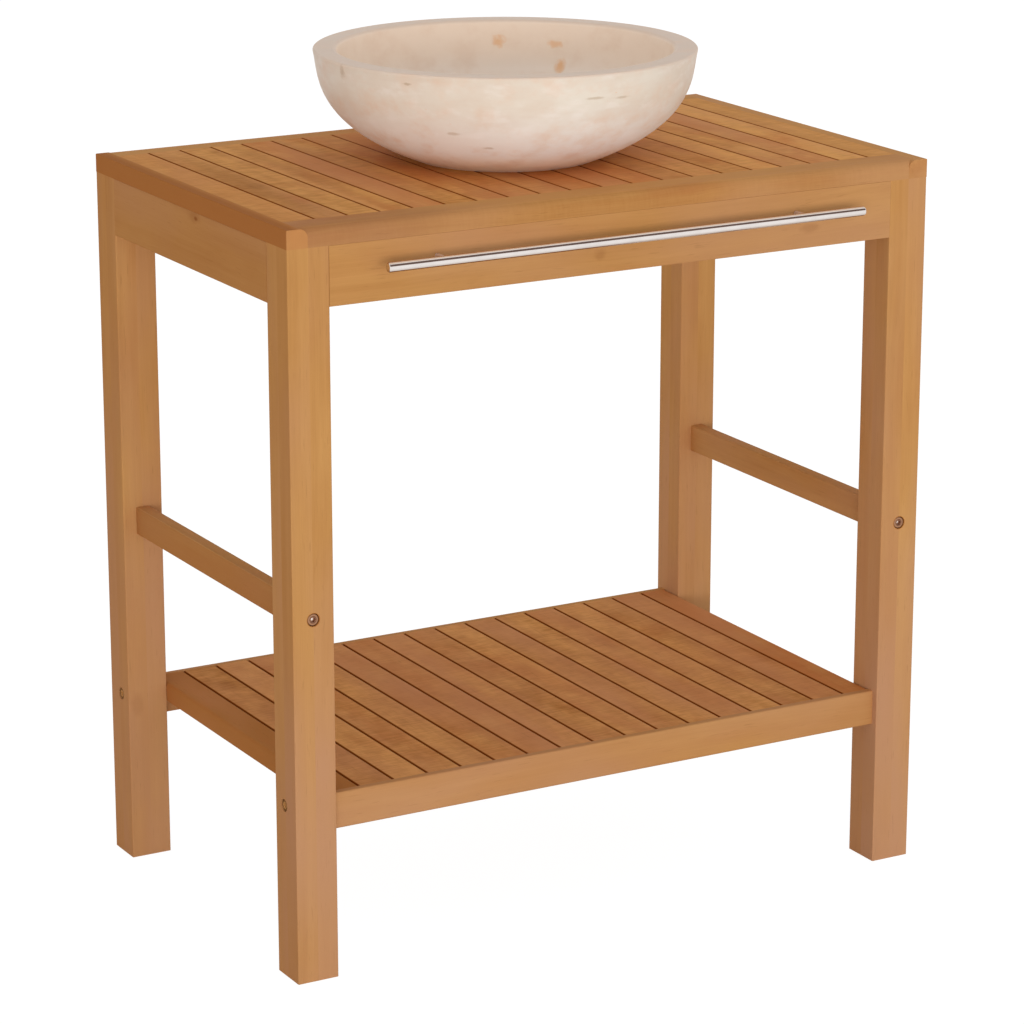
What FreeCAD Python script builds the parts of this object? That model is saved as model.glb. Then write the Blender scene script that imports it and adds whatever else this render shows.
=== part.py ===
import FreeCAD, Part
import math
import os

from FreeCAD import Vector

# Washstand with a round vessel basin and a towel bar. X runs along the width, Y from the front to the
# back and Z upwards. The pieces are drawn about the middle of the stand and then moved back a little, so
# that the origin lies on the floor under the middle of the whole, towel bar included. Millimetres.

# Overall size
stand_width = 740.0
stand_depth = 450.0
stand_height = 770.0

# Fits and the overrun of every cut
joint_clearance = 0.2
seam_clearance = 0.05
hardware_clearance = 0.1
bolt_hole_clearance = 0.3
blind_end_gap = 0.5
cut_overrun = 4.0
full_turn = 360.0

# Legs
leg_side = 45.0
leg_edge_round = 1.0

# Aprons and the tenons that join them to the legs
apron_height = 60.0
apron_thickness = 22.5
apron_edge_round = 1.0
tenon_length = 20.0
tenon_thickness = 9.0
tenon_height = 40.0

# Frame round the slats of the top
top_thickness = 19.0
front_rail_width = 38.0
back_rail_width = 24.5
front_edge_round = 10.0
back_edge_round = 3.0
edge_strip_width = 22.5
strip_shoulder_round = 9.0
strip_edge_round = 1.0

# Slats of the top, with tongues that sit in grooves of the two rails
top_slat_count = 18
top_slat_gap = 1.5
outer_board_width = 25.4
top_slat_chamfer = 0.6
tongue_length = 10.0
tongue_thickness = 6.0

# Shelf rails, end boards and slats
shelf_height = 193.0
shelf_setback = 8.0
shelf_rail_height = 38.0
shelf_rail_thickness = 22.5
shelf_rail_round = 2.0
shelf_lip_width = 8.0
shelf_slat_thickness = 20.0
shelf_slat_count = 15
shelf_slat_gap = 2.0
shelf_slat_round = 1.0
end_board_width = 32.3
end_board_round = 4.0

# Side stretchers
stretcher_height = 380.0
stretcher_depth = 30.0
stretcher_thickness = 15.0
stretcher_edge_round = 1.5

# Bolts with hexagon sockets, their heads sunk a little below the faces of the legs
bolt_radius = 3.0
head_radius = 6.0
head_height = 5.0
head_edge_round = 0.8
head_sunk = 0.8
recess_clearance = 0.6
socket_across_flats = 5.0
socket_depth = 2.5
socket_sides = 6

# Reach of the stretchers' bolts and their barrel nuts
stretcher_bolt_reach = 27.0
barrel_nut_radius = 5.0
barrel_nut_length = 14.0
barrel_nut_setback = 20.0

# Reach and place of the shelf's bolts and their threaded inserts
shelf_bolt_reach = 12.0
shelf_bolt_inset = 26.0
insert_radius = 5.0
insert_length = 15.0

# Towel bar and its posts
bar_radius = 5.0
bar_length = 550.0
bar_end_round = 1.5
bar_stand_off = 25.0
bar_below_apron_top = 22.0
post_inset = 67.0
post_radius = 2.5
spigot_radius = 1.8
spigot_length = 16.0

# Basin
basin_radius = 200.0
basin_height = 114.0
basin_back_shift = 10.0
rim_width = 25.0
bowl_floor_thickness = 20.0
rim_outer_round = 2.0
rim_inner_round = 4.0
foot_edge_round = 1.5
waste_radius = 22.5
waste_flange_radius = 32.0
waste_flange_depth = 3.0
waste_hole_radius = 25.0

# Control points of the basin's outer wall, from its foot to its rim: shares of the radius and the height
outer_wall_shares = ((0.483, 0.0), (1.028, 0.361), (0.963, 0.790), (1.0, 1.0))

# Control points of the bowl's inner wall, from the waste to the rim: shares of the way out and the way up
inner_wall_shares = ((0.0, 0.0), (0.70, 0.0), (0.98, 0.30), (1.0, 1.0))

# Places that several pieces share
half_width = stand_width / 2
half_depth = stand_depth / 2
leg_height = stand_height - top_thickness
leg_mid_x = half_width - leg_side / 2
leg_inner_x = half_width - leg_side
leg_inner_y = half_depth - leg_side
apron_bottom_z = leg_height - apron_height
apron_mid_z = leg_height - apron_height / 2
apron_mid_x = half_width - apron_thickness / 2
apron_mid_y = half_depth - apron_thickness / 2
strip_inner_x = half_width - edge_strip_width
slat_front_y = front_rail_width - half_depth
slat_back_y = half_depth - back_rail_width
slat_mid_z = leg_height + top_thickness / 2
shelf_edge_y = half_depth - shelf_setback
shelf_slat_end_y = shelf_edge_y - shelf_lip_width
shelf_slat_bottom_z = shelf_height - shelf_slat_thickness
shelf_slat_mid_z = shelf_height - shelf_slat_thickness / 2
shelf_bolt_y = half_depth - shelf_bolt_inset
recess_depth = head_height + head_sunk
bar_y = -half_depth - bar_stand_off
bar_z = leg_height - bar_below_apron_top
post_x = bar_length / 2 - post_inset
basin_centre = Vector(0, basin_back_shift, stand_height)
move_to_origin = Vector(0, (bar_stand_off + bar_radius) / 2, 0)

along_x = Vector(1, 0, 0)
along_y = Vector(0, 1, 0)
along_z = Vector(0, 0, 1)


# Blocks, edges, mirrored copies and rows


def block(low, high):
    size = high - low
    return Part.makeBox(size.x, size.y, size.z, low)


def centred_block(centre, size):
    return Part.makeBox(size.x, size.y, size.z, centre - size * 0.5)


def edges_along(shape, axis):
    def runs_along(edge):
        box = edge.BoundBox
        span = Vector(box.XLength, box.YLength, box.ZLength)
        return span.dot(axis) * 2 > span.x + span.y + span.z

    return [edge for edge in shape.Edges if runs_along(edge)]


def upper_edges_along(shape, axis):
    middle = shape.BoundBox.Center.z
    return [edge for edge in edges_along(shape, axis) if edge.BoundBox.ZMin > middle]


def rounded_block(low, high, axis, radius):
    body = block(low, high)
    return body.makeFillet(radius, edges_along(body, axis))


def mirrored(shape, axis):
    return shape.mirror(Vector(0, 0, 0), axis)


def four_corners(shape):
    front = [shape, mirrored(shape, along_x)]
    return front + [mirrored(part, along_y) for part in front]


def boards_between(left_x, right_x, count, gap):
    # equal boards with a gap on both sides of each: pairs of left and right edges
    width = (right_x - left_x - gap * (count + 1)) / count
    edges = []
    for number in range(count):
        left = left_x + gap + number * (width + gap)
        edges.append((left, left + width))
    return edges


# Bolts, their holes and their recesses: each starts at the mouth of its hole and runs along a direction


def bolt_hole(mouth, direction):
    outside = mouth - direction * cut_overrun
    recess_radius = head_radius + recess_clearance
    hole_radius = bolt_radius + bolt_hole_clearance
    recess = Part.makeCylinder(recess_radius, recess_depth + cut_overrun, outside, direction)
    hole = Part.makeCylinder(hole_radius, leg_side + cut_overrun, mouth, direction)
    return recess.fuse(hole)


def socket_bolt(mouth, direction, reach):
    # reach is how far the bolt goes beyond the leg
    seat = mouth + direction * recess_depth
    top = seat - direction * head_height
    head = Part.makeCylinder(head_radius, head_height, top, direction)
    rim = [edge for edge in head.Edges if (edge.CenterOfMass - top).Length < head_height / 2]
    head = head.makeFillet(head_edge_round, rim)
    corner_radius = socket_across_flats / 2 / math.cos(math.pi / socket_sides)
    side = direction.cross(along_z).normalize() * corner_radius
    corners = []
    for number in range(socket_sides + 1):
        turn = FreeCAD.Rotation(direction, full_turn * number / socket_sides)
        corners.append(top + turn.multVec(side))
    socket = Part.Face(Part.makePolygon(corners)).extrude(direction * socket_depth)
    shank = Part.makeCylinder(bolt_radius, leg_side - recess_depth + reach, seat, direction)
    return head.cut(socket).fuse(shank).removeSplitter()


# Tenons of the aprons, also used to cut their mortises


def front_tenon(grown_by, longer_by):
    centre = Vector(-leg_inner_x - tenon_length / 2, -apron_mid_y, apron_mid_z)
    size = Vector(tenon_length + longer_by * 2, tenon_thickness + grown_by * 2, tenon_height + grown_by * 2)
    return centred_block(centre, size)


def side_tenon(grown_by, longer_by):
    centre = Vector(-apron_mid_x, -leg_inner_y - tenon_length / 2, apron_mid_z)
    size = Vector(tenon_thickness + grown_by * 2, tenon_length + longer_by * 2, tenon_height + grown_by * 2)
    return centred_block(centre, size)


# Legs


def front_left_leg():
    low = Vector(-half_width, -half_depth, 0)
    high = Vector(-leg_inner_x, -leg_inner_y, leg_height)
    body = rounded_block(low, high, along_z, leg_edge_round)
    stretcher_hole = bolt_hole(Vector(-leg_mid_x, -half_depth, stretcher_height), along_y)
    shelf_hole = bolt_hole(Vector(-half_width, -shelf_bolt_y, shelf_slat_mid_z), along_x)
    front_mortise = front_tenon(joint_clearance, blind_end_gap)
    side_mortise = side_tenon(joint_clearance, blind_end_gap)
    return body.cut([stretcher_hole, shelf_hole, front_mortise, side_mortise])


# Aprons


def front_apron():
    low = Vector(-leg_inner_x, -half_depth, apron_bottom_z)
    high = Vector(leg_inner_x, apron_thickness - half_depth, leg_height)
    body = rounded_block(low, high, along_x, apron_edge_round)
    tenon = front_tenon(0, 0)
    body = body.fuse([tenon, mirrored(tenon, along_x)]).removeSplitter()
    return body.cut(post_holes())


def back_apron():
    low = Vector(-leg_inner_x, half_depth - apron_thickness, apron_bottom_z)
    high = Vector(leg_inner_x, half_depth, leg_height)
    body = rounded_block(low, high, along_x, apron_edge_round)
    tenon = mirrored(front_tenon(0, 0), along_y)
    return body.fuse([tenon, mirrored(tenon, along_x)]).removeSplitter()


def left_apron():
    low = Vector(-half_width, -leg_inner_y, apron_bottom_z)
    high = Vector(apron_thickness - half_width, leg_inner_y, leg_height)
    body = rounded_block(low, high, along_y, apron_edge_round)
    tenon = side_tenon(0, 0)
    return body.fuse([tenon, mirrored(tenon, along_y)]).removeSplitter()


# Frame of the top: a strip along each side, with a rounded shoulder that the rails and outer boards are
# coped over


def right_strip(grown_by, overrun):
    inner_x = strip_inner_x - grown_by
    shoulder_radius = strip_shoulder_round + grown_by
    shoulder_x = strip_inner_x + strip_shoulder_round
    shoulder_z = stand_height - strip_shoulder_round
    slant = shoulder_radius * math.sin(math.pi / 4)
    start = Vector(inner_x, 0, leg_height - overrun)
    bend_low = Vector(inner_x, 0, shoulder_z)
    bend_middle = Vector(shoulder_x - slant, 0, shoulder_z + slant)
    bend_high = Vector(shoulder_x, 0, shoulder_z + shoulder_radius)
    outer_high = Vector(half_width + overrun, 0, shoulder_z + shoulder_radius)
    outer_low = Vector(half_width + overrun, 0, leg_height - overrun)
    outline = Part.Wire(
        [
            Part.makeLine(start, bend_low),
            Part.Arc(bend_low, bend_middle, bend_high).toShape(),
            Part.makeLine(bend_high, outer_high),
            Part.makeLine(outer_high, outer_low),
            Part.makeLine(outer_low, start),
        ]
    )
    section = Part.Face(outline)
    section.translate(Vector(0, -half_depth - overrun, 0))
    return section.extrude(along_y * (stand_depth + overrun * 2))


def right_edge_strip():
    body = right_strip(0, 0)
    outer = [edge for edge in edges_along(body, along_y) if edge.BoundBox.XMin > leg_mid_x]
    return body.makeFillet(strip_edge_round, [edge for edge in outer if edge.BoundBox.ZMin > slat_mid_z])


def coped(body):
    cutter = right_strip(seam_clearance, cut_overrun)
    return body.cut([cutter, mirrored(cutter, along_x)])


def rail_groove(mouth_y, inward):
    # the groove reaches from outside the rail's inner face to the end of the tongues
    depth = tongue_length + blind_end_gap + cut_overrun
    centre = Vector(0, mouth_y + inward * (depth / 2 - cut_overrun), slat_mid_z)
    size = Vector(stand_width, depth, tongue_thickness + joint_clearance * 2)
    return centred_block(centre, size)


def front_rail():
    low = Vector(-half_width, -half_depth, leg_height)
    high = Vector(half_width, slat_front_y, stand_height)
    body = block(low, high)
    front = [edge for edge in upper_edges_along(body, along_x) if edge.BoundBox.YMax < slat_front_y]
    body = body.makeFillet(front_edge_round, front)
    return coped(body).cut(rail_groove(slat_front_y, -1))


def back_rail():
    low = Vector(-half_width, slat_back_y, leg_height)
    high = Vector(half_width, half_depth, stand_height)
    body = block(low, high)
    back = [edge for edge in upper_edges_along(body, along_x) if edge.BoundBox.YMin > slat_back_y]
    body = body.makeFillet(back_edge_round, back)
    return coped(body).cut(rail_groove(slat_back_y, 1))


# Slats of the top and the two boards beside them


def tongued_board(left_x, right_x):
    low = Vector(left_x, slat_front_y, leg_height)
    high = Vector(right_x, slat_back_y, stand_height)
    body = block(low, high)
    body = body.makeChamfer(top_slat_chamfer, upper_edges_along(body, along_y))
    tongue = block(
        Vector(left_x, slat_front_y - tongue_length, slat_mid_z - tongue_thickness / 2),
        Vector(right_x, slat_back_y + tongue_length, slat_mid_z + tongue_thickness / 2),
    )
    return body.fuse(tongue).removeSplitter()


def top_slats():
    field_x = strip_inner_x - outer_board_width
    waste_hole = Part.makeCylinder(
        waste_hole_radius,
        top_thickness + cut_overrun * 2,
        basin_centre - along_z * (top_thickness + cut_overrun),
    )
    slats = []
    for left, right in boards_between(-field_x, field_x, top_slat_count, top_slat_gap):
        slats.append(tongued_board(left, right).cut(waste_hole))
    return slats


def right_outer_board():
    return coped(tongued_board(strip_inner_x - outer_board_width, half_width))


# Shelf


def front_shelf_rail():
    low = Vector(-leg_inner_x, -shelf_edge_y, shelf_height - shelf_rail_height)
    high = Vector(leg_inner_x, shelf_rail_thickness - shelf_edge_y, shelf_height)
    body = block(low, high)
    front = [edge for edge in edges_along(body, along_x) if edge.BoundBox.YMax < body.BoundBox.Center.y]
    body = body.makeFillet(shelf_rail_round, front)
    rebate = block(
        Vector(-half_width, -shelf_slat_end_y, shelf_slat_bottom_z),
        Vector(half_width, 0, shelf_height + cut_overrun),
    )
    return body.cut(rebate)


def shelf_board(left_x, right_x, left_round):
    low = Vector(left_x, -shelf_slat_end_y, shelf_slat_bottom_z)
    high = Vector(right_x, shelf_slat_end_y, shelf_height)
    body = block(low, high)
    left, right = sorted(upper_edges_along(body, along_y), key=lambda edge: edge.BoundBox.XMin)
    rounding = body.makeFillet(left_round, [left])
    return rounding.common(body.makeFillet(shelf_slat_round, [right]))


def shelf_slats():
    field_x = leg_inner_x - end_board_width
    rows = boards_between(-field_x, field_x, shelf_slat_count, shelf_slat_gap)
    return [shelf_board(left, right, shelf_slat_round) for left, right in rows]


def left_end_board():
    body = shelf_board(-leg_inner_x, end_board_width - leg_inner_x, end_board_round)
    hole = Part.makeCylinder(
        insert_radius + hardware_clearance,
        insert_length + cut_overrun,
        Vector(-leg_inner_x - cut_overrun, -shelf_bolt_y, shelf_slat_mid_z),
        along_x,
    )
    return body.cut([hole, mirrored(hole, along_y)])


def front_left_insert():
    mouth = Vector(-leg_inner_x, -shelf_bolt_y, shelf_slat_mid_z)
    sleeve = Part.makeCylinder(insert_radius, insert_length, mouth, along_x)
    return sleeve.cut(Part.makeCylinder(bolt_radius + hardware_clearance, insert_length, mouth, along_x))


def front_left_shelf_bolt():
    return socket_bolt(Vector(-half_width, -shelf_bolt_y, shelf_slat_mid_z), along_x, shelf_bolt_reach)


# Side stretchers


def nut_centre():
    return Vector(-leg_mid_x, barrel_nut_setback - leg_inner_y, stretcher_height)


def left_stretcher():
    low = Vector(-leg_mid_x - stretcher_thickness / 2, -leg_inner_y, stretcher_height - stretcher_depth / 2)
    high = Vector(-leg_mid_x + stretcher_thickness / 2, leg_inner_y, stretcher_height + stretcher_depth / 2)
    body = rounded_block(low, high, along_y, stretcher_edge_round)
    end_hole = Part.makeCylinder(
        bolt_radius + bolt_hole_clearance,
        stretcher_bolt_reach + blind_end_gap + cut_overrun,
        Vector(-leg_mid_x, -leg_inner_y - cut_overrun, stretcher_height),
        along_y,
    )
    nut_hole = Part.makeCylinder(
        barrel_nut_radius + hardware_clearance,
        stretcher_depth / 2 + barrel_nut_length / 2 + cut_overrun,
        nut_centre() - along_z * (stretcher_depth / 2 + cut_overrun),
    )
    return body.cut([end_hole, nut_hole, mirrored(end_hole, along_y), mirrored(nut_hole, along_y)])


def front_left_stretcher_bolt():
    return socket_bolt(Vector(-leg_mid_x, -half_depth, stretcher_height), along_y, stretcher_bolt_reach)


def front_left_barrel_nut():
    nut_bottom = nut_centre() - along_z * (barrel_nut_length / 2)
    nut = Part.makeCylinder(barrel_nut_radius, barrel_nut_length, nut_bottom)
    thread = Part.makeCylinder(
        bolt_radius + hardware_clearance,
        barrel_nut_radius * 2 + cut_overrun * 2,
        nut_centre() - along_y * (barrel_nut_radius + cut_overrun),
        along_y,
    )
    return nut.cut(thread)


# Towel bar


def towel_bar():
    body = Part.makeCylinder(bar_radius, bar_length, Vector(-bar_length / 2, bar_y, bar_z), along_x)
    ends = [edge for edge in body.Edges if edge.BoundBox.XLength < bar_radius]
    return body.makeFillet(bar_end_round, ends)


def left_post():
    seat = Vector(-post_x, -half_depth, bar_z)
    rod = Part.makeCylinder(post_radius, bar_stand_off, seat, -along_y)
    spigot = Part.makeCylinder(spigot_radius, spigot_length, seat, along_y)
    bar_end = Vector(-bar_length / 2, bar_y, bar_z)
    saddle = Part.makeCylinder(bar_radius + hardware_clearance, bar_length, bar_end, along_x)
    return rod.fuse(spigot).cut(saddle).removeSplitter()


def post_holes():
    mouth = Vector(-post_x, -half_depth - cut_overrun, bar_z)
    depth = spigot_length + blind_end_gap + cut_overrun
    hole = Part.makeCylinder(spigot_radius + hardware_clearance, depth, mouth, along_y)
    return [hole, mirrored(hole, along_x)]


# Basin: one turned body, its outer and inner walls each a curve from the middle out to the rim


def wall_curve(shares, start, end):
    span = end - start
    poles = [start + Vector(span.x * out_share, 0, span.z * up_share) for out_share, up_share in shares]
    curve = Part.BezierCurve()
    curve.setPoles(poles)
    return curve.toShape()


def round_circles(body, height, inner_radius, outer_radius, edge_round):
    # rounds the circular edges at one height whose radius lies between the two given
    wanted = []
    for edge in body.Edges:
        level = abs(edge.BoundBox.Center.z - height) < edge_round / 2
        if level and edge.isClosed() and inner_radius < edge.BoundBox.XMax < outer_radius:
            wanted.append(edge)
    return body.makeFillet(edge_round, wanted)


def basin():
    foot_radius = basin_radius * outer_wall_shares[0][0]
    floor_z = bowl_floor_thickness
    outer_wall = wall_curve(outer_wall_shares, Vector(0, 0, 0), Vector(basin_radius, 0, basin_height))
    inner_start = Vector(waste_flange_radius, 0, floor_z)
    inner_end = Vector(basin_radius - rim_width, 0, basin_height)
    inner_wall = wall_curve(inner_wall_shares, inner_start, inner_end)
    flange_z = floor_z - waste_flange_depth
    path = [
        Vector(waste_flange_radius, 0, floor_z),
        Vector(waste_flange_radius, 0, flange_z),
        Vector(waste_radius, 0, flange_z),
        Vector(waste_radius, 0, 0),
        Vector(foot_radius, 0, 0),
    ]
    rim = Part.makeLine(inner_end, Vector(basin_radius, 0, basin_height))
    outline = Part.Wire(Part.__sortEdges__([outer_wall, inner_wall, rim] + Part.makePolygon(path).Edges))
    body = Part.Face(outline).revolve(Vector(0, 0, 0), along_z, full_turn)
    rim_middle = basin_radius - rim_width / 2
    body = round_circles(body, basin_height, 0, rim_middle, rim_inner_round)
    body = round_circles(body, basin_height, rim_middle, basin_radius + rim_width, rim_outer_round)
    body = round_circles(body, 0, waste_flange_radius, rim_middle, foot_edge_round)
    body.translate(basin_centre)
    return body


os.makedirs("parts", exist_ok=True)
pieces = {}

leg_names = ("leg_front_left", "leg_front_right", "leg_back_left", "leg_back_right")
pieces.update(zip(leg_names, four_corners(front_left_leg())))

pieces["apron_front"] = front_apron()
pieces["apron_back"] = back_apron()
pieces["apron_left"] = left_apron()
pieces["apron_right"] = mirrored(left_apron(), along_x)

pieces["top_rail_front"] = front_rail()
pieces["top_rail_back"] = back_rail()
pieces["top_strip_right"] = right_edge_strip()
pieces["top_strip_left"] = mirrored(right_edge_strip(), along_x)
pieces["top_board_right"] = right_outer_board()
pieces["top_board_left"] = mirrored(right_outer_board(), along_x)
for number, slat in enumerate(top_slats(), start=1):
    pieces[f"top_slat_{number:02d}"] = slat

pieces["shelf_rail_front"] = front_shelf_rail()
pieces["shelf_rail_back"] = mirrored(front_shelf_rail(), along_y)
pieces["shelf_end_left"] = left_end_board()
pieces["shelf_end_right"] = mirrored(left_end_board(), along_x)
for number, slat in enumerate(shelf_slats(), start=1):
    pieces[f"shelf_slat_{number:02d}"] = slat

pieces["stretcher_left"] = left_stretcher()
pieces["stretcher_right"] = mirrored(left_stretcher(), along_x)
pieces["stretcher_bolts"] = Part.makeCompound(four_corners(front_left_stretcher_bolt()))
pieces["stretcher_nuts"] = Part.makeCompound(four_corners(front_left_barrel_nut()))
pieces["shelf_bolts"] = Part.makeCompound(four_corners(front_left_shelf_bolt()))
pieces["shelf_inserts"] = Part.makeCompound(four_corners(front_left_insert()))

pieces["towel_bar"] = towel_bar()
pieces["towel_bar_posts"] = Part.makeCompound([left_post(), mirrored(left_post(), along_x)])
pieces["basin"] = basin()

for name, piece in pieces.items():
    piece.translate(move_to_origin)
    piece.exportStep(os.path.join("parts", name + ".step"))
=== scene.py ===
import math

import bpy
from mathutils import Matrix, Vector

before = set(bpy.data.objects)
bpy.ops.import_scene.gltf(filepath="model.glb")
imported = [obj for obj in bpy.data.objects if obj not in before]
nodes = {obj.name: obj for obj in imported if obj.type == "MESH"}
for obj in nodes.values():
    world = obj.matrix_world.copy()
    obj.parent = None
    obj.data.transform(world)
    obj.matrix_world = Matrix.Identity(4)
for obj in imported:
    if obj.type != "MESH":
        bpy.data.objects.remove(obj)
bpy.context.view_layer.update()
print("frame loaded:", len(nodes), "nodes")


def srgb(red, green, blue):
    # a colour as a paint program shows it, 0 to 255, made linear
    def linear(level):
        level = level / 255
        return level / 12.92 if level <= 0.04045 else ((level + 0.055) / 1.055) ** 2.4

    return (linear(red), linear(green), linear(blue), 1.0)


def span(name):
    # the low and high corner of a piece
    corners = [vertex.co for vertex in nodes[name].data.vertices]
    low = Vector([min(corner[axis] for corner in corners) for axis in range(3)])
    high = Vector([max(corner[axis] for corner in corners) for axis in range(3)])
    return low, high


# the Mix node has sockets of one name for each data type, so its colour sockets go by number
mixSockets = {"amount": 0, "first": 6, "second": 7, "result": 2}

# how much of a spot's reach is solid, and how many bumps its uneven edge has
spotShape = {"solid": 0.25, "bumps": 1.6}


class Wire:
    # an output socket; sums and products with it add Math nodes
    def __init__(self, recipe, socket):
        self.recipe = recipe
        self.socket = socket

    def output(self, name):
        return Wire(self.recipe, self.socket.node.outputs[name])

    def math(self, operation, *values):
        return self.recipe.math(operation, self, *values)

    def centred(self):
        # a noise, which lies round a half, moved to lie round 0
        return self - 0.5

    def __add__(self, value):
        return self.math("ADD", value)

    def __sub__(self, value):
        return self.math("SUBTRACT", value)

    def __rsub__(self, value):
        return self.recipe.math("SUBTRACT", value, self)

    def __mul__(self, value):
        return self.math("MULTIPLY", value)

    def __truediv__(self, value):
        return self.math("DIVIDE", value)

    def __rtruediv__(self, value):
        return self.recipe.math("DIVIDE", value, self)

    __radd__ = __add__
    __rmul__ = __mul__


class Recipe:
    # the nodes of one material or world
    def __init__(self, holder):
        self.holder = holder
        holder.use_nodes = True
        self.tree = holder.node_tree
        self.tree.nodes.clear()

    def add(self, kind, settings=None, inputs=None, output=0):
        node = self.tree.nodes.new(kind)
        for setting, value in (settings or {}).items():
            setattr(node, setting, value)
        for name, value in (inputs or {}).items():
            if isinstance(value, Wire):
                self.tree.links.new(value.socket, node.inputs[name])
            else:
                node.inputs[name].default_value = value
        return Wire(self, node.outputs[output]) if node.outputs else None

    def math(self, operation, *values):
        return self.add("ShaderNodeMath", {"operation": operation}, dict(enumerate(values)))

    def vector(self, operation, *values):
        return self.add("ShaderNodeVectorMath", {"operation": operation}, dict(enumerate(values)))

    def join(self, x, y, z):
        return self.add("ShaderNodeCombineXYZ", None, {"X": x, "Y": y, "Z": z})

    def split(self, vector):
        # the three parts of a vector
        parts = self.add("ShaderNodeSeparateXYZ", None, {"Vector": vector})
        return [parts.output(axis) for axis in "XYZ"]

    def mix(self, amount, first, second):
        settings = {"data_type": "RGBA", "clamp_factor": True}
        values = {"amount": amount, "first": first, "second": second}
        inputs = {mixSockets[name]: value for name, value in values.items()}
        return self.add("ShaderNodeMix", settings, inputs, mixSockets["result"])

    def rise(self, value, low, high):
        # 0 at low, 1 at high, smooth between them
        settings = {"interpolation_type": "SMOOTHSTEP"}
        inputs = {"Value": value, "From Min": low, "From Max": high}
        return self.add("ShaderNodeMapRange", settings, inputs)

    def fall(self, value, low, high):
        # 1 at low, 0 at high
        return 1.0 - self.rise(value, low, high)

    def noise(self, place, scale, detail=2.0, roughness=0.5):
        # fine or coarse along each axis by its own scale
        scaled = self.vector("MULTIPLY", place, scale)
        inputs = {"Vector": scaled, "Scale": 1.0, "Detail": detail, "Roughness": roughness}
        return self.add("ShaderNodeTexNoise", None, inputs)

    def spot(self, place, middle, reach, rough):
        # 1 at a spot's middle, 0 outside its reach, with an uneven edge
        steps = self.vector("DIVIDE", self.vector("SUBTRACT", place, middle), reach)
        away = self.vector("LENGTH", steps).output("Value")
        bumps = self.noise(place, (spotShape["bumps"] / max(reach),) * 3)
        return self.fall(away + bumps.centred() * rough, spotShape["solid"], 1.0)

    def offAxis(self, axes, places):
        # how far a place is from the nearest bolt's axis
        side = (axes[places["sideways"]] - places["middle"]).math("ABSOLUTE") - places["away"]
        up = axes[2] - places["height"]
        return (side * side + up * up).math("SQRT")

    def bump(self, height, strength, distance):
        inputs = {"Strength": strength, "Distance": distance, "Height": height}
        return self.add("ShaderNodeBump", None, inputs)

    def blend(self, amount, first, second):
        # the two shader sockets share a name, so they go by number
        return self.add("ShaderNodeMixShader", None, {0: amount, 1: first, 2: second})

    def coat(self, inputs):
        surface = self.add("ShaderNodeBsdfPrincipled", None, inputs)
        return self.close("ShaderNodeOutputMaterial", surface)

    def close(self, kind, surface):
        self.add(kind, None, {"Surface": surface})
        return self.holder


# wood

# two kinds of board, the pale ones of the frame and the warm ones of the slats: their colours, how
# strongly their figure and rings show, and the noises of their clouds and redder patches
woodKinds = {
    "pale": {
        "light": srgb(211, 159, 97), "dark": srgb(167, 110, 58),
        "red": srgb(182, 112, 68), "rose": srgb(193, 143, 108),
        "figure": 0.6, "rings": 0.44,
        "cloud": ((20, 20, 6), 3.0, 0.55), "flush": ((22, 22, 3.0), 2.0, 0.5),
    },
    "warm": {
        "light": srgb(231, 168, 99), "dark": srgb(180, 119, 62),
        "red": srgb(198, 115, 64), "rose": srgb(208, 146, 102),
        "figure": 0.5, "rings": 0.35,
        "cloud": ((34, 34, 17), 3.0, 0.55), "flush": ((26, 26, 9), 2.0, 0.5),
    },
}

# each noise, here and above: how fine it is across, through and along the board, its detail and its
# roughness
woodGrain = {
    "sway": ((7, 7, 2.0), 2.0, 0.5),
    "figure": ((26, 26, 0.9), 2.0, 0.5),
    "rings": ((120, 120, 1.6), 3.0, 0.6),
    "fibres": ((800, 800, 18), 2.0, 0.6),
    "pores": ((700, 700, 45), 1.0, 0.4),
    "ripple": ((44, 44, 290), 2.0, 0.6),
    "rosy": ((13, 13, 4.0), 2.0, 0.5),
}

woodLook = {
    "pore": srgb(112, 68, 36), "poreStrength": 0.16, "poreLimits": (0.66, 0.78),
    "knot": srgb(122, 60, 28), "knotEdge": 0.8,
    # the painted shade on the outer side faces
    "sideShade": srgb(166, 103, 52),
    # the painted shade, with some dark stain, on the walls of the gaps
    "gap": srgb(138, 64, 4), "gapShadeStrength": 0.9, "gapEdge": (0.0002, 0.0012),
    # the painted shade round the bolt recesses
    "recessShade": srgb(164, 100, 46), "recessShadeStrength": 0.9,
    "endStrength": 0.8, "frontEdge": (0.0002, 0.001), "topEdge": (0.0008, 0.0002),
    "shine": 0.01,
    "roughness": 0.6, "roughnessSpread": 0.15,
    # how dark a board is from 0, light, to 1, dark, before the noises and its own depth shift it
    "depth": 0.40, "fibres": 0.24, "ripple": 0.2, "rippleLimits": (0.32, 0.68),
    # how much a board's luck, a cloud or a noise shifts its red and its rose
    "redLuck": 0.6, "redCloud": 0.5, "redLimits": (0.35, 0.8),
    "roseLuck": 0.3, "roseNoise": 1.6, "footRose": 0.5,
    # how far apart the boards lie in the noise, and how far the grain sways, across and through
    "boardShift": 7.0, "sway": 0.03, "swayThrough": 0.7,
    # steps between the numbers of the two sides' boards, and of the strips and boards along X and Y
    "sideStep": 5, "seamSteps": (17, 131),
    # the relief of fibres, pores, cross marks and rings, and the bump's strength and height
    "relief": {"fibres": 0.3, "pores": 0.4, "ripple": 0.15, "rings": 0.3}, "bump": (0.2, 0.0004),
}

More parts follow.
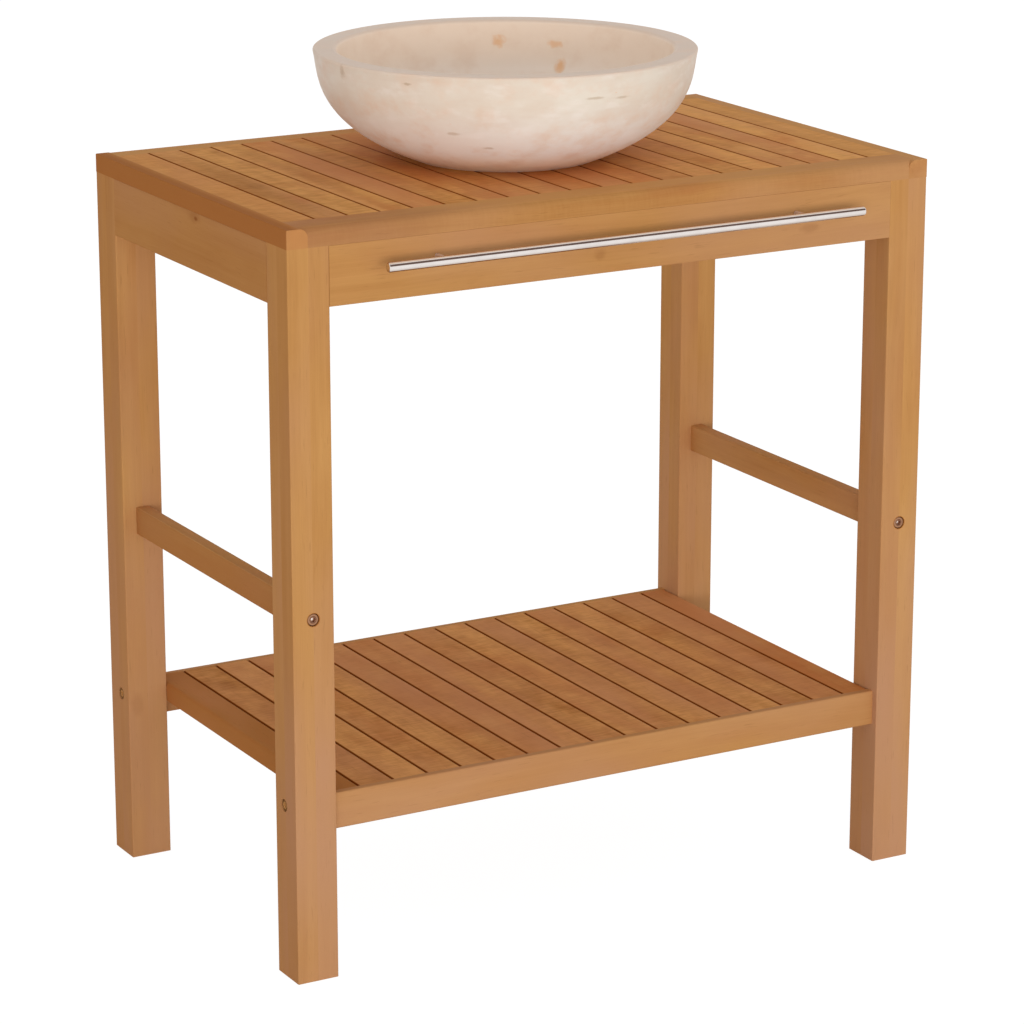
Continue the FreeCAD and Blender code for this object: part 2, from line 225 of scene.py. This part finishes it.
# the seams between glued strips in the legs, and the gaps between the boards: where one lies along each
# axis, and how far on the next one is
legStrips = (15, 9)  # from leg to leg, along X and along Y
legLow, legHigh = (sum(span(name), Vector()) / 2 for name in ("leg_front_left", "leg_back_right"))
legSeams = {axis: (legLow[axis], (legHigh[axis] - legLow[axis]) / legStrips[axis]) for axis in (0, 1)}


def boardGaps(first, second):
    # the gaps between neighbouring boards, and half the width of one
    firstHigh, secondLow = span(first)[1].x, span(second)[0].x
    pitch = secondLow - span(first)[0].x
    return {0: ((firstHigh + secondLow) / 2, pitch)}, (secondLow - firstHigh) / 2


def boltPlaces(name, sideways, recessShade):
    # where a set of four bolts lies: how far to both sides of a middle, and how high
    low, high = span(name)
    radius = (high.z - low.z) / 2
    middle = (low[sideways] + high[sideways]) / 2
    away = high[sideways] - middle - radius
    return {
        "sideways": sideways, "middle": middle, "away": away, "height": (low.z + high.z) / 2,
        "recessShade": (radius + recessShade[0], radius + recessShade[1]),
    }


def outerLimits(name, start, end):
    # where the painted shade on an outer side face begins and is full, from how deep it lies under
    # the face of a piece
    face = span(name)[1].x
    return (face - start, face - end)


# each set of bolts: whether it lies to both sides along X (0) or Y (1), and where the painted shade
# round its recess lies on the wood, from how far to how far outside a bolt
boltSets = {
    "stretcher_bolts": {"sideways": 0, "recessShade": (0.0006, 0.0018)},
    "shelf_bolts": {"sideways": 1, "recessShade": (0.0000, 0.0009)},
}
bolts = {name: boltPlaces(name, **places) for name, places in boltSets.items()}
topGaps, topGapHalf = boardGaps("top_slat_01", "top_slat_02")
shelfGaps, shelfGapHalf = boardGaps("shelf_slat_01", "shelf_slat_02")
frontFace, topFace = span("top_strip_left")[0].y, span("top_strip_left")[1].z
thinSkin = (0.0006, 0.0002)  # an outer face alone

# what a board has where its own look doesn't say otherwise: how far its boards differ, how red, how rosy
# and how dark they are, how much the plane left cross marks, how strong their clouds are, and how uneven
# the limit of the painted shade on an outer side face is
plainBoard = {
    "spread": 0.0, "reds": 0.2, "rose": 0.0, "depth": 0.0, "ripple": 0.0, "patches": 0.55,
    "outerWave": 0.0, "seams": {}, "spots": [],
}

# each look has its pieces, its kind, the way its grain runs and a seed. Some also have seams, half a
# gap's width (gap), painted shade on an outer side face (outer, outerDepth), painted light on
# the top face, lighter or redder (litTopDepth, litTopRed), a front end of their own colour (end), rosy
# feet (footRose, from low to high), painted shade round the bolt recesses (recessShaded), or knots and
# darker places (spots, each with its middle, its reach and its strength)
boardLooks = {
    "legWood": {
        "pieces": ("leg_",), "kind": "pale", "grain": "Z", "seed": 3,
        "spread": 0.12, "rose": 0.15,
        "seams": legSeams, "footRose": (0.18, 0.55), "recessShaded": True,
        "outer": outerLimits("leg_back_right", *thinSkin), "outerDepth": 0.34,
        "spots": [((-0.360, 0.195, 0.174), (0.010, 0.010, 0.018), 0.15)],
    },
    "longApronWood": {
        "pieces": ("apron_front", "apron_back"), "kind": "pale", "grain": "X", "seed": 11,
        "reds": 0.25, "rose": 0.3, "depth": 0.02,
        "spots": [
            ((-0.024, -0.21, 0.710), (0.010, 0.010, 0.008), 0.22),
            ((0.226, -0.21, 0.711), (0.016, 0.010, 0.007), 0.20),
        ],
    },
    "sideApronWood": {
        "pieces": ("apron_left", "apron_right"), "kind": "pale", "grain": "Y", "seed": 12,
        "rose": 0.3,
        "outer": outerLimits("apron_right", *thinSkin), "outerDepth": 0.42,
        "spots": [
            ((-0.37, -0.002, 0.746), (0.010, 0.020, 0.008), 0.30),
            ((-0.37, -0.006, 0.745), (0.010, 0.006, 0.003), 0.85),
        ],
    },
    "topRailWood": {
        "pieces": ("top_rail_",), "kind": "pale", "grain": "X", "seed": 21,
        "reds": 0.95, "rose": 0.15, "depth": 0.12, "ripple": 0.3,
        "litTopDepth": -0.52, "litTopRed": 0.28,
        "spots": [((-0.30, -0.20, 0.757), (0.16, 0.06, 0.04), 0.22)],
    },
    "leftStripWood": {
        "pieces": ("top_strip_left",), "kind": "warm", "grain": "Y", "seed": 22,
        "reds": 0.3, "depth": 0.1, "ripple": 0.4,
        "outer": outerLimits("top_strip_right", 0.0260, 0.0040), "outerDepth": 0.92,
        "outerWave": 0.016, "end": srgb(188, 131, 80),
    },
    "rightStripWood": {
        "pieces": ("top_strip_right",), "kind": "pale", "grain": "Y", "seed": 22,
        "reds": 0.3, "ripple": 0.8,
        "litTopDepth": -0.45,
    },
    "topBoardWood": {
        "pieces": ("top_board_",), "kind": "warm", "grain": "Y", "seed": 22,
        "ripple": 1.2,
        "seams": topGaps, "gap": topGapHalf,
    },
    "topSlatWood": {
        "pieces": ("top_slat_",), "kind": "warm", "grain": "Y", "seed": 515,
        "spread": 0.6, "reds": 0.55, "rose": 0.2, "depth": -0.03, "ripple": 1.8, "patches": 0.95,
        "seams": topGaps, "gap": topGapHalf,
        "spots": [
            ((-0.301, 0.0, 0.77), (0.014, 0.030, 0.01), 0.30),
            ((-0.303, 0.00, 0.77), (0.024, 0.240, 0.02), 0.22),
            ((-0.232, -0.01, 0.77), (0.022, 0.300, 0.02), 0.16),
        ],
    },
    "shelfRailWood": {
        "pieces": ("shelf_rail_",), "kind": "pale", "grain": "X", "seed": 41,
        "rose": 0.25,
    },
    "shelfSlatWood": {
        "pieces": ("shelf_slat_",), "kind": "warm", "grain": "Y", "seed": 537311,
        "spread": 0.45, "reds": 0.34, "rose": 0.36, "ripple": 1.7, "patches": 1.6,
        "seams": shelfGaps, "gap": shelfGapHalf,
        "spots": [((-0.271, 0.153, 0.193), (0.016, 0.030, 0.01), 0.25)],
    },
    "shelfEndWood": {
        "pieces": ("shelf_end_",), "kind": "warm", "grain": "Y", "seed": 537311,
        "spread": 0.45, "reds": 0.6, "rose": 0.15, "depth": 0.54, "ripple": 0.6,
        "seams": shelfGaps, "gap": shelfGapHalf,
        "outer": outerLimits("shelf_end_right", 0.0035, 0.0002), "outerDepth": 0.6,
        "outerWave": 0.004,
    },
    "stretcherWood": {
        "pieces": ("stretcher_left", "stretcher_right"), "kind": "pale", "grain": "Y", "seed": 51,
        "reds": 0.3, "rose": 0.2,
        "outer": outerLimits("stretcher_right", *thinSkin), "outerDepth": 0.65,
    },
}


def boardLuck(wood, look, axes):
    # three random levels for each board, from the number of the board at a place; where there are no gaps
    # to count, the pieces of the two sides still get numbers of their own
    farSide = axes[1 if look["grain"] == "X" else 0].math("GREATER_THAN", 0.0)
    number = look["seed"] + farSide * (0 if "gap" in look else woodLook["sideStep"])
    for axis, (start, pitch) in look["seams"].items():
        number = number + ((axes[axis] - start) / pitch).math("FLOOR") * woodLook["seamSteps"][axis]
    return wood.add("ShaderNodeTexWhiteNoise", {"noise_dimensions": "1D"}, {"W": number}).output("Color")


def woodLayers(wood, look, axes, luck):
    # the noises of the grain, turned so that its long way is their Z
    x, y, z = axes
    lengthwise = {"X": (z, y, x), "Y": (x, z, y), "Z": (x, y, z)}[look["grain"]]
    shift = wood.vector("MULTIPLY", luck, (woodLook["boardShift"],) * 3)
    board = wood.vector("ADD", wood.join(*lengthwise), shift)
    sway = wood.noise(board, *woodGrain["sway"]).centred() * woodLook["sway"]
    bent = wood.vector("ADD", board, wood.join(sway, sway * woodLook["swayThrough"], 0.0))
    kind = woodKinds[look["kind"]]
    return {
        "figure": wood.noise(bent, *woodGrain["figure"]),
        "rings": wood.noise(bent, *woodGrain["rings"]),
        "cloud": wood.noise(board, *kind["cloud"]),
        "fibres": wood.noise(bent, *woodGrain["fibres"]),
        "pores": wood.rise(wood.noise(bent, *woodGrain["pores"]), *woodLook["poreLimits"]),
        "ripple": wood.rise(wood.noise(board, *woodGrain["ripple"]), *woodLook["rippleLimits"]),
        "flush": wood.noise(bent, *kind["flush"]),
        "rosy": wood.noise(bent, *woodGrain["rosy"]),
    }


def woodColour(wood, look, z, layers, luck):
    kind = woodKinds[look["kind"]]
    tone, redness = wood.split(luck)[:2]
    cloud = layers["cloud"].centred()
    depth = woodLook["depth"] + look["depth"] + layers["figure"].centred() * kind["figure"]
    depth = depth + layers["rings"].centred() * kind["rings"]
    depth = depth + cloud * look["patches"] + layers["fibres"].centred() * woodLook["fibres"]
    depth = depth + tone.centred() * look["spread"]
    depth = depth + layers["ripple"].centred() * (woodLook["ripple"] * look["ripple"])
    # painted light on the top face: lighter here, and redder below
    if "litTopDepth" in look:
        top = wood.rise(z, *(topFace - deep for deep in woodLook["topEdge"]))
        depth = depth + top * look["litTopDepth"]
    colour = wood.mix(depth, kind["light"], kind["dark"])

    flush = layers["flush"] + redness.centred() * woodLook["redLuck"] + cloud * woodLook["redCloud"]
    flush = wood.rise(flush, *woodLook["redLimits"])
    colour = wood.mix(flush * look["reds"], colour, kind["red"])
    rosy = look["rose"] + layers["rosy"].centred() * woodLook["roseNoise"]
    rosy = rosy + redness.centred() * woodLook["roseLuck"]
    if "footRose" in look:
        rosy = rosy + wood.fall(z, *look["footRose"]) * woodLook["footRose"]
    colour = wood.mix(rosy, colour, kind["rose"])
    # painted light: the top face redder
    if "litTopRed" in look:
        colour = wood.mix(top * look["litTopRed"], colour, kind["red"])
    return wood.mix(layers["pores"] * woodLook["poreStrength"], colour, woodLook["pore"])


def woodMarks(wood, look, place, axes, figure, colour):
    # knots, painted shade on outer side faces, the front end, painted shade with some dark stain on the
    # walls of the gaps, and painted shade round the bolt recesses
    x, y = axes[:2]
    frontLimits = [frontFace + deep for deep in woodLook["frontEdge"]]
    for middle, reach, strength in look["spots"]:
        knot = wood.spot(place, middle, reach, woodLook["knotEdge"])
        colour = wood.mix(knot * strength, colour, woodLook["knot"])
    # painted shade on the outer side faces
    if "outer" in look:
        outer = wood.rise(x.math("ABSOLUTE") + figure.centred() * look["outerWave"], *look["outer"])
        outer = outer * wood.rise(y, *frontLimits)
        colour = wood.mix(outer * look["outerDepth"], colour, woodLook["sideShade"])
    if "end" in look:
        colour = wood.mix(wood.fall(y, *frontLimits) * woodLook["endStrength"], colour, look["end"])
    if "gap" in look:
        # the distance to the middle of the nearest gap, at most half a pitch
        start, pitch = look["seams"][0]
        toGap = ((x - start) / pitch).math("PINGPONG", 0.5) * pitch
        # painted shade, with some dark stain, on the walls of the gaps
        wall = wood.fall(toGap, *(look["gap"] + deep for deep in woodLook["gapEdge"]))
        colour = wood.mix(wall * woodLook["gapShadeStrength"], colour, woodLook["gap"])
    # painted shade round the bolt recesses
    if "recessShaded" in look:
        for places in bolts.values():
            recess = wood.fall(wood.offAxis(axes, places), *places["recessShade"])
            colour = wood.mix(recess * woodLook["recessShadeStrength"], colour, woodLook["recessShade"])
    return colour


def woodMaterial(name, look):
    wood = Recipe(bpy.data.materials.new(name))
    place = wood.add("ShaderNodeTexCoord", output="Object")
    axes = wood.split(place)
    luck = boardLuck(wood, look, axes)
    layers = woodLayers(wood, look, axes, luck)
    colour = woodColour(wood, look, axes[2], layers, luck)
    colour = woodMarks(wood, look, place, axes, layers["figure"], colour)
    roughness = layers["fibres"].centred() * woodLook["roughnessSpread"] + woodLook["roughness"]
    weights = woodLook["relief"]
    relief = layers["fibres"] * weights["fibres"] - layers["pores"] * weights["pores"]
    relief = relief + layers["ripple"] * (weights["ripple"] * look["ripple"])
    relief = relief + layers["rings"] * weights["rings"]
    return wood.coat({
        "Base Color": colour, "Roughness": roughness, "Normal": wood.bump(relief, *woodLook["bump"]),
        "Specular IOR Level": woodLook["shine"],
    })


for materialName, look in boardLooks.items():
    material = woodMaterial(materialName, plainBoard | look)
    for nodeName, piece in nodes.items():
        if nodeName.startswith(look["pieces"]):
            piece.data.materials[0] = material
print("wood done")

# stone basin

stoneLook = {
    "cream": srgb(234, 222, 206),
    "warm": srgb(226, 206, 186),
    "pale": srgb(242, 231, 219),
    # painted light that whitens the bowl towards its foot
    "foot": srgb(255, 254, 252), "footTop": (0.788, 0.858), "footStrength": 0.95, "footInside": 0.25,
    # painted warm bounce light along the bowl's lowest edge
    "warmBounce": srgb(255, 232, 202), "warmBounceTop": (0.776, 0.800), "warmBounceStrength": 0.8,
    # painted shade on the flat top of the rim
    "rim": srgb(224, 198, 178), "rimTop": (0.8806, 0.8838), "rimShadeStrength": 0.8,
    # painted light: the inside of the bowl paler and warmer
    "inner": srgb(251, 230, 210), "innerLightStrength": 0.9,
    "blush": srgb(232, 200, 174), "blushLimits": (0.42, 0.80), "blushStrength": 0.6, "blushInside": 0.35,
    "fleck": srgb(238, 168, 82),
    "vein": srgb(180, 146, 106), "markEdge": 1.2,
    "shine": 0.3,
    "roughness": 0.5, "roughnessSpread": 0.15, "bump": (0.12, 0.0003),
    # where the inside of the bowl begins: its wall faces the axis, and its bottom faces up
    "wallLimits": (-0.020, -0.004), "bottomLimits": (0.5, 0.8),
    # how fine each noise is along X, Y and Z, its detail and its roughness
    "noises": {
        "cloud": ((13, 13, 24), 4.0, 0.6),
        "patch": ((34, 34, 70), 3.0, 0.55),
        "layers": ((22, 22, 260), 3.0, 0.6),
        "specks": ((150, 150, 420), 2.0, 0.5),
        "blush": ((30, 30, 38), 3.0, 0.6),
        "grit": ((900, 900, 900), 2.0, 0.6),
    },
    # the colours laid over the cream: the noise, its limits, the strength and the colour
    "tints": [
        ("cloud", (0.35, 0.75), 0.8, "warm"),
        ("patch", (0.50, 0.72), 0.6, "pale"),
        ("layers", (0.5, 0.8), 0.25, "warm"),
        ("specks", (0.72, 0.80), 0.4, "fleck"),
    ],
    # the flecks that show, each with its middle, its reach and its strength
    "flecks": [
        ((0.0775, 0.1785, 0.8614), (0.0100, 0.0080, 0.0090), 0.50),
        ((0.1266, 0.1408, 0.8597), (0.0130, 0.0120, 0.0055), 0.45),
        ((0.1260, 0.1290, 0.8385), (0.0072, 0.0072, 0.0160), 0.62),
    ],
    # and the thin veins on its outside
    "veins": [
        ((-0.1693, -0.0773, 0.8735), (0.0070, 0.0070, 0.0018), 0.50),
        ((-0.0064, -0.1705, 0.8597), (0.0120, 0.0070, 0.0018), 0.45),
        ((0.0249, -0.1686, 0.8576), (0.0120, 0.0070, 0.0018), 0.40),
        ((-0.1301, -0.0992, 0.8235), (0.0120, 0.0090, 0.0024), 0.40),
        ((-0.0952, -0.1092, 0.8073), (0.0080, 0.0080, 0.0018), 0.45),
        ((-0.1974, 0.0091, 0.8756), (0.0060, 0.0060, 0.0090), 0.45),
    ],
}


def bowlInside(stone, place, rim):
    # 1 on the bowl's inner wall and on its bottom
    low, high = span("basin")
    sideways = (1.0, 1.0, 0.0)
    outwards = stone.vector("MULTIPLY", stone.vector("SUBTRACT", place, (low + high) / 2), sideways)
    normal = stone.add("ShaderNodeNewGeometry", output="Normal")
    facing = stone.vector("DOT_PRODUCT", normal, outwards).output("Value")
    wall = stone.fall(facing, *stoneLook["wallLimits"])
    bottom = stone.rise(stone.split(normal)[2], *stoneLook["bottomLimits"]) * (1.0 - rim)
    return wall.math("MAXIMUM", bottom)


def stoneMaterial():
    look = stoneLook
    stone = Recipe(bpy.data.materials.new("honedLimestone"))
    place = stone.add("ShaderNodeTexCoord", output="Object")
    height = stone.split(place)[2]
    noises = {name: stone.noise(place, *noise) for name, noise in look["noises"].items()}
    colour = look["cream"]
    for name, limits, strength, tint in look["tints"]:
        colour = stone.mix(stone.rise(noises[name], *limits) * strength, colour, look[tint])
    rim = stone.rise(height, *look["rimTop"])
    inside = bowlInside(stone, place, rim)
    # painted light: the inside of the bowl paler and warmer
    colour = stone.mix(inside * look["innerLightStrength"], colour, look["inner"])
    # painted light whitens the bowl towards its foot, against the shade there: it reaches up the outside,
    # and less of it into the bowl
    footMost = look["footStrength"] - inside * (look["footStrength"] - look["footInside"])
    foot = (stone.fall(height, *look["footTop"]) * look["footStrength"]).math("MINIMUM", footMost)
    colour = stone.mix(foot, colour, look["foot"])
    # painted warm bounce light along the bowl's lowest edge
    warmBounce = stone.fall(height, *look["warmBounceTop"]) * look["warmBounceStrength"]
    colour = stone.mix(warmBounce, colour, look["warmBounce"])
    # painted shade on the flat top of the rim
    colour = stone.mix(rim * look["rimShadeStrength"], colour, look["rim"])
    blushMost = look["blushStrength"] - inside * (look["blushStrength"] - look["blushInside"])
    blush = stone.rise(noises["blush"], *look["blushLimits"]) * blushMost
    colour = stone.mix(blush, colour, look["blush"])
    for kind in ("fleck", "vein"):
        for middle, reach, strength in look[kind + "s"]:
            mark = stone.spot(place, middle, reach, look["markEdge"])
            colour = stone.mix(mark * strength, colour, look[kind])
    roughness = noises["grit"].centred() * look["roughnessSpread"] + look["roughness"]
    return stone.coat({
        "Base Color": colour, "Roughness": roughness,
        "Normal": stone.bump(noises["grit"] + noises["cloud"], *look["bump"]),
        "Specular IOR Level": look["shine"],
    })


nodes["basin"].data.materials[0] = stoneMaterial()
print("stone done")

# metal

# what every metal piece has: darker clouds, and how far its roughness and its surface vary
metalLook = {
    "cloud": (60, 60, 60), "cloudLimits": (0.35, 0.8), "cloudStrength": 0.4, "cloudDark": 0.8,
    "brushDetail": 3.0, "brushRoughness": 0.6, "roughnessSpread": 0.1, "bump": (0.05, 0.0002),
    "ringEdge": 0.0004,
    "shine": 0.5,
}

# each set's colour, gloss and brush marks. The bolts have rings, each from its radius inwards; on the
# stretcher bolts they are a painted shadow round the socket and a painted highlight in its middle. The
# round bar has painted reflection bands by height, from -1 at its underside to 1 at its top: the wood
# along its top and painted shade along its underside
metalLooks = {
    "towel_bar": {
        "colour": srgb(230, 223, 219), "metallic": 1.0, "roughness": 0.10, "brush": (6, 1400, 1400),
        # painted reflection of the wood along the top, painted shade along the underside
        "reflectionBands": [((0.70, 0.84), srgb(204, 176, 154)), ((-0.10, -1.00), srgb(168, 146, 126))],
    },
    "towel_bar_posts": {
        "colour": srgb(226, 208, 198), "metallic": 0.5, "roughness": 0.25, "brush": (900, 60, 900),
    },
    "stretcher_bolts": {
        "colour": srgb(170, 124, 92), "metallic": 0.7, "roughness": 0.36, "brush": (700, 700, 700),
        "rings": [
            # a painted shadow round the socket, the head's own colour, and a painted highlight in the
            # socket
            (0.0038, srgb(108, 68, 48)),
            (0.0028, srgb(178, 130, 100)),
            (0.0013, srgb(250, 236, 224)),
        ],
    },
    "shelf_bolts": {
        "colour": srgb(126, 84, 42), "metallic": 0.0, "roughness": 0.6, "brush": (700, 700, 700),
        "rings": [(0.0034, srgb(200, 146, 88)), (0.0014, srgb(86, 54, 26))], "shine": 0.03,
    },
    "stretcher_nuts": {
        "colour": srgb(190, 190, 192), "metallic": 1.0, "roughness": 0.4, "brush": (500, 500, 500),
    },
    "shelf_inserts": {
        "colour": srgb(190, 190, 192), "metallic": 1.0, "roughness": 0.4, "brush": (500, 500, 500),
    },
}


def metalMaterial(name, look):
    metal = Recipe(bpy.data.materials.new(name + "Metal"))
    place = metal.add("ShaderNodeTexCoord", output="Object")
    brush = metal.noise(place, look["brush"], look["brushDetail"], look["brushRoughness"])
    cloud = metal.rise(metal.noise(place, look["cloud"]), *look["cloudLimits"])
    darker = tuple(level * look["cloudDark"] for level in look["colour"][:3]) + (1.0,)
    colour = metal.mix(cloud * look["cloudStrength"], look["colour"], darker)
    # on the stretcher bolts the rings paint a shadow round the socket and a highlight in its middle
    if "rings" in look:
        fromAxis = metal.offAxis(metal.split(place), bolts[name])
        for radius, ringColour in look["rings"]:
            ring = metal.fall(fromAxis, radius - look["ringEdge"], radius + look["ringEdge"])
            colour = metal.mix(ring, colour, ringColour)
    if "reflectionBands" in look:
        # a painted reflection of the wood along the round bar's top, and painted shade along its
        # underside
        low, high = span(name)
        middle, radius = (low.z + high.z) / 2, (high.z - low.z) / 2
        level = (metal.split(place)[2] - middle) / radius
        for limits, reflectionColour in look["reflectionBands"]:
            colour = metal.mix(metal.rise(level, *limits), colour, reflectionColour)
    roughness = brush.centred() * look["roughnessSpread"] + look["roughness"]
    return metal.coat({
        "Base Color": colour, "Metallic": look["metallic"], "Roughness": roughness,
        "Normal": metal.bump(brush, *look["bump"]), "Specular IOR Level": look["shine"],
    })


for nodeName, look in metalLooks.items():
    nodes[nodeName].data.materials[0] = metalMaterial(nodeName, metalLook | look)
print("metal done")

# floor, world, lamps and camera

studio = {
    "floorRadius": 30.0,
    "floorSides": 64,
    "floorColour": (0.86, 0.86, 0.86, 1.0),
    "floorGlow": 0.88,
    "glowStrength": 1.1,
    "skyLight": 0.645,
    "skyShown": 1.05,
    "ceilingLight": 0.16,
    "ceilingColour": srgb(255, 218, 204),
    "ceilingStart": (0.30, 0.42),
    "ceilingFront": (-0.32, -0.20),
    "lens": 135.74,
    "sensorWidth": 36.0,
    "farthest": 100.0,
    "cameraPlace": (-1.9467, -3.4394, 1.5239),
    "cameraYaw": 0.5137,
    "cameraPitch": 0.2798,
}
white = (1.0, 1.0, 1.0, 1.0)

# each lamp: its place, what it looks at, its width and height, and its power
lamps = {
    "frontLamp": {
        "place": (-2.65, -7.28, 0.95), "aim": (0.0, 0.0, 0.45), "size": (7.0, 1.9), "power": 255.0,
    },
    "sideLamp": {
        "place": (3.0, 1.3, 3.0), "aim": (0.0, 0.0, 0.40), "size": (2.6, 2.6), "power": 6.0,
    },
}


def makeFloor():
    sides, radius = studio["floorSides"], studio["floorRadius"]
    turns = [math.tau * step / sides for step in range(sides)]
    corners = [(radius * math.cos(turn), radius * math.sin(turn), 0.0) for turn in turns]
    mesh = bpy.data.meshes.new("floor")
    mesh.from_pydata(corners, [], [tuple(range(sides))])
    floor = bpy.data.objects.new("floor", mesh)
    bpy.context.scene.collection.objects.link(floor)
    paper = Recipe(bpy.data.materials.new("paleFloor"))
    diffuse = paper.add("ShaderNodeBsdfDiffuse", None, {"Color": studio["floorColour"]})
    glow = paper.add("ShaderNodeEmission", None, {"Color": white, "Strength": studio["glowStrength"]})
    rays = paper.add("ShaderNodeLightPath", output="Is Camera Ray")
    mirrored = rays.output("Is Glossy Ray").math("MAXIMUM", rays.output("Is Transmission Ray"))
    seen = rays.math("MAXIMUM", mirrored) * studio["floorGlow"]
    both = paper.blend(seen, diffuse, glow)
    # clear from below, so that the underside shows
    below = paper.add("ShaderNodeNewGeometry", output="Backfacing")
    oneSided = paper.blend(below, both, paper.add("ShaderNodeBsdfTransparent"))
    mesh.materials.append(paper.close("ShaderNodeOutputMaterial", oneSided))


def makeWorld():
    # even light all round; the backdrop shows white, and the metal sees a dark ceiling over the camera
    sky = Recipe(bpy.data.worlds.new("studio"))
    ahead = sky.add("ShaderNodeTexCoord", output="Generated")
    forwards, upwards = sky.split(ahead)[1:]
    rays = sky.add("ShaderNodeLightPath", output="Is Camera Ray")
    shine = rays.output("Is Glossy Ray")
    ceiling = sky.rise(upwards, *studio["ceilingStart"]) * shine
    ceiling = ceiling * sky.fall(forwards, *studio["ceilingFront"])
    mirrored = shine.math("MAXIMUM", rays.output("Is Transmission Ray"))
    seen = rays.math("MAXIMUM", mirrored) * (studio["skyShown"] - studio["skyLight"])
    strength = studio["skyLight"] + seen - ceiling * (studio["skyShown"] - studio["ceilingLight"])
    colour = sky.mix(ceiling, white, studio["ceilingColour"])
    backdrop = sky.add("ShaderNodeBackground", None, {"Color": colour, "Strength": strength})
    bpy.context.scene.world = sky.close("ShaderNodeOutputWorld", backdrop)


def makeLamps():
    for name, lamp in lamps.items():
        light = bpy.data.lights.new(name, "AREA")
        light.shape = "RECTANGLE"
        light.size, light.size_y = lamp["size"]
        light.energy = lamp["power"]
        holder = bpy.data.objects.new(name, light)
        holder.location = lamp["place"]
        holder.visible_glossy = False
        aim = Vector(lamp["aim"]) - Vector(lamp["place"])
        holder.rotation_euler = aim.to_track_quat("-Z", "Y").to_euler()
        bpy.context.scene.collection.objects.link(holder)


def makeCamera():
    data = bpy.data.cameras.new("camera")
    data.lens = studio["lens"]
    data.sensor_width = studio["sensorWidth"]
    data.clip_end = studio["farthest"]
    camera = bpy.data.objects.new("camera", data)
    yaw, pitch = studio["cameraYaw"], studio["cameraPitch"]
    ahead = Vector((math.sin(yaw) * math.cos(pitch), math.cos(yaw) * math.cos(pitch), -math.sin(pitch)))
    camera.location = studio["cameraPlace"]
    camera.rotation_euler = ahead.to_track_quat("-Z", "Y").to_euler()
    bpy.context.scene.collection.objects.link(camera)
    bpy.context.scene.camera = camera


makeFloor()
makeWorld()
makeLamps()
makeCamera()
bpy.context.scene.view_settings.view_transform = "Standard"
print("studio done")
